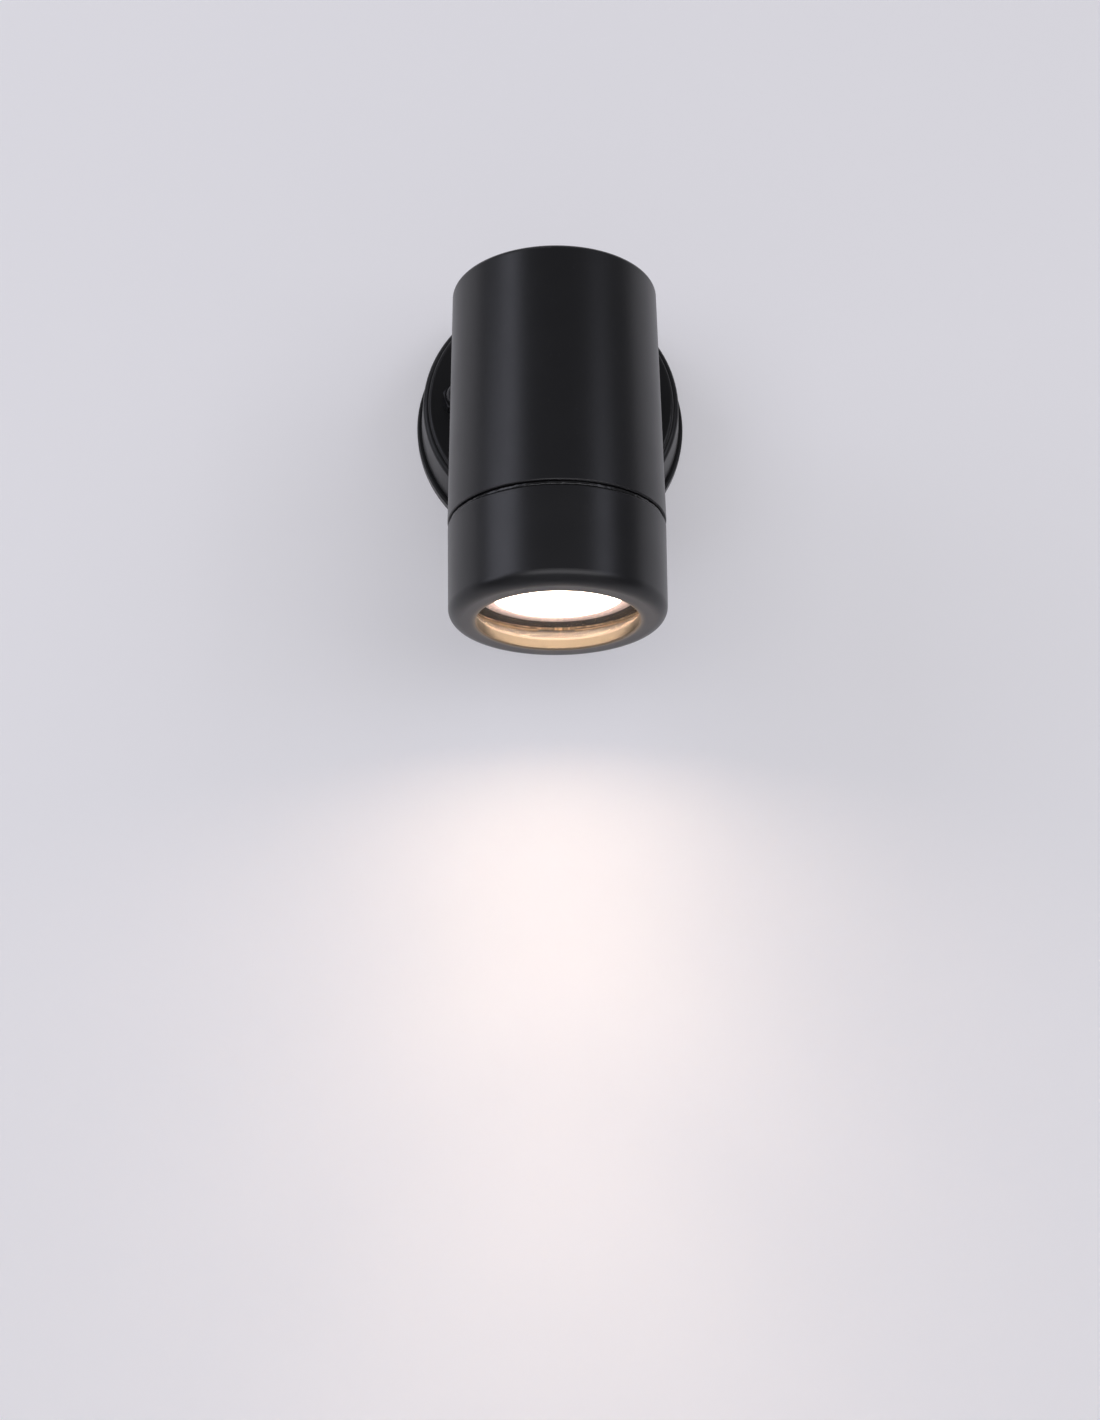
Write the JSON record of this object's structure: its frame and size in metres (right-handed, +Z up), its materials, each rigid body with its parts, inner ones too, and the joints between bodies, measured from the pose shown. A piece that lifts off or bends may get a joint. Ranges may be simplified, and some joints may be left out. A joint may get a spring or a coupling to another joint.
{
  "type": "pivoting spotlight wall light",
  "caption": "Small round-canopy wall light with a tapered cylindrical spotlight head that swivels and tilts on a knuckle, a screw-off front ring and a twist-lock lamp.",
  "frame": {"origin": "centre of the back plate's rear face, on the wall plane", "axes": "+Y into the wall, so the light stands out towards -Y; +Z up; +X to the right seen from the room; at rest the head points straight down"},
  "size_m": [0.0926, 0.1132, 0.1475],
  "materials": {
    "black_plastic": "fine satin grain",
    "black_metal": "satin black over cast zinc",
    "black_nut": "blackened steel",
    "black_rubber": "smooth, slightly glossy",
    "grey_foam": "closed-cell foam",
    "steel": "zinc plated",
    "brass": "plain machined",
    "nylon": "natural nylon",
    "clear_glass": "clear toughened",
    "silicone": "translucent silicone",
    "white_ceramic": "unglazed steatite",
    "lamp_grey": "satin, thermally conductive plastic",
    "lamp_light": "opal diffuser, lit warm white",
    "lead_sleeve": "heat-proof sleeving"
  },
  "bodies": {
    "base": {"wall_gasket": "grey_foam", "back_plate": "black_plastic", "cable_grommet": "black_rubber", "canopy_studs": "steel", "stud_spacers": "steel", "canopy_seal": "black_rubber", "canopy": "black_plastic", "swivel_stop_pin": "steel", "cap_nut_washers": "steel", "cap_nuts": "black_nut", "terminal_block": "nylon", "terminal_sleeves": "brass", "terminal_screws": "steel", "terminal_fixing_screw": "steel", "canopy_leads": "lead_sleeve"},
    "arm": {"swivel_arm": "black_metal", "swivel_seal": "black_rubber", "swivel_washer": "nylon", "swivel_spring_washer": "steel", "swivel_nut": "brass", "tilt_washers": "nylon"},
    "head": {"head_body": "black_plastic", "tilt_bolt": "black_nut", "tilt_nut": "black_nut", "head_grommet": "black_rubber", "seam_ring": "black_rubber", "lamp_holder": "white_ceramic", "holder_contacts": "brass", "lamp_holder_screws": "steel", "holder_bracket": "steel", "bracket_screws": "steel", "head_leads": "lead_sleeve"},
    "lamp": {"lamp_shell": "lamp_grey", "lamp_face": "lamp_light", "lamp_pins": "brass"},
    "lens": {"lens_gasket": "silicone", "lens_glass": "clear_glass"},
    "ring": {"front_ring": "black_plastic", "lens_clip": "steel"}
  },
  "joints": [
    {"name": "swivel", "type": "hinge", "parent": "base", "child": "arm", "pos_m": [0, -0.025, 0], "axis": [0, -1, 0], "range_deg": [-160, 160]},
    {"name": "tilt", "type": "hinge", "parent": "arm", "child": "head", "pos_m": [0, -0.0415, 0], "axis": [-1, 0, 0], "range_deg": [-15, 90]},
    {"name": "lamp_twist", "type": "hinge", "parent": "head", "child": "lamp", "pos_m": [0, -0.08, -0.07], "axis": [0, 0, -1], "range_deg": [0, 35]},
    {"name": "ring_travel", "type": "slide", "parent": "head", "child": "lens", "axis": [0, 0, -1], "range_m": [0, 0.00751]},
    {"name": "ring_turn", "type": "hinge", "parent": "lens", "child": "ring", "pos_m": [0, -0.08, -0.086], "axis": [0, 0, -1], "range_deg": [0, 900]}
  ],
  "couplings": [
    {"joint": "ring_travel", "follows": "ring_turn", "m_per_rad": 0.00047746}
  ]
}
